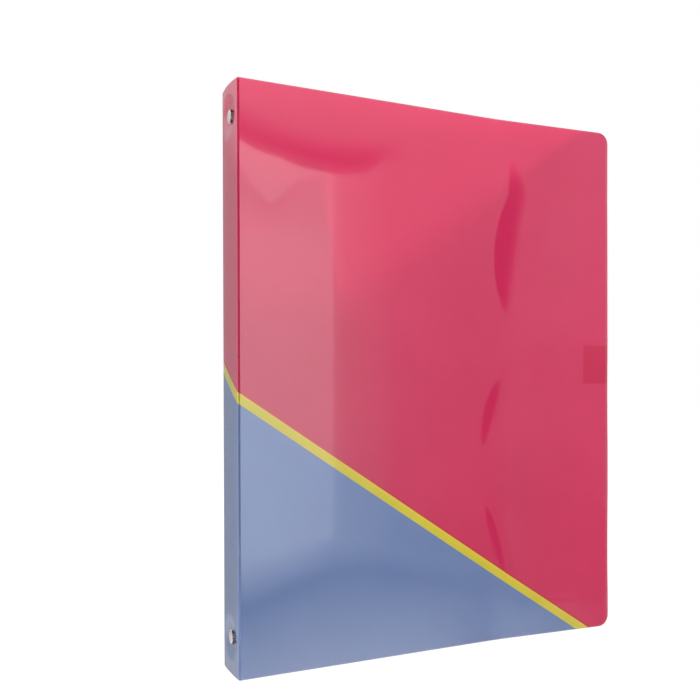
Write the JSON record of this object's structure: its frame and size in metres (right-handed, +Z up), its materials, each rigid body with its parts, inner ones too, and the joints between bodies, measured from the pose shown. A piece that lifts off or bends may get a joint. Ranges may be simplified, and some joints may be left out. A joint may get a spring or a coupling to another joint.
{
  "type": "ring binder",
  "caption": "Upright A4 ring binder: a plastic sheet cover folded at living hinges round a spine, with a riveted steel ring mechanism whose paired half rings swing open.",
  "frame": {"origin": "middle of the closed binder's box, on the surface it stands on", "axes": "+Z up along the spine, +X from the spine to the fore edges, +Y from the front cover to the back cover"},
  "size_m": [0.2456, 0.0336, 0.315],
  "materials": {
    "cover_sheet": "glossy translucent polypropylene sheet, crimson over steel blue with a yellow diagonal stripe",
    "hinge_web": "scored and thinned polypropylene",
    "label_film": "plain dark stick-on film",
    "housing_nickel": "bright nickel plate on spring steel",
    "blade_steel": "plain nickel-washed steel strip",
    "ring_nickel": "bright nickel-plated wire",
    "rivet_nickel": "bright nickel-plated domed rivet",
    "collar_steel": "plain steel tube"
  },
  "bodies": {
    "spine": {"spine_panel": "cover_sheet", "front_hinge_web": "hinge_web", "back_hinge_web": "hinge_web", "ring_housing": "housing_nickel", "upper_rivet": "rivet_nickel", "lower_rivet": "rivet_nickel", "upper_collar": "collar_steel", "lower_collar": "collar_steel"},
    "front_board": {"front_cover": "cover_sheet", "index_label": "label_film"},
    "back_board": {"back_cover": "cover_sheet"},
    "front_jaw": {"front_blade": "blade_steel", "front_half_ring_1": "ring_nickel", "front_half_ring_2": "ring_nickel", "front_half_ring_3": "ring_nickel", "front_half_ring_4": "ring_nickel"},
    "back_jaw": {"back_blade": "blade_steel", "back_half_ring_1": "ring_nickel", "back_half_ring_2": "ring_nickel", "back_half_ring_3": "ring_nickel", "back_half_ring_4": "ring_nickel"}
  },
  "joints": [
    {"name": "front_cover_hinge", "type": "hinge", "parent": "spine", "child": "front_board", "pos_m": [-0.12062, -0.01055, 0.1575], "axis": [0, 0, -1], "range_deg": [0, 180], "deforming": ["front_hinge_web"]},
    {"name": "back_cover_hinge", "type": "hinge", "parent": "spine", "child": "back_board", "pos_m": [-0.12062, 0.01623, 0.1575], "axis": [0, 0, 1], "range_deg": [0, 180], "deforming": ["back_hinge_web"]},
    {"name": "front_jaw_swing", "type": "hinge", "parent": "spine", "child": "front_jaw", "pos_m": [-0.11843, -0.00486, 0.1588], "axis": [0, 0, -1], "range_deg": [0, 15]},
    {"name": "back_jaw_swing", "type": "hinge", "parent": "spine", "child": "back_jaw", "pos_m": [-0.11843, 0.01054, 0.1588], "axis": [0, 0, 1], "range_deg": [0, 15]}
  ],
  "couplings": [
    {"joint": "back_jaw_swing", "follows": "front_jaw_swing", "ratio": 1}
  ]
}
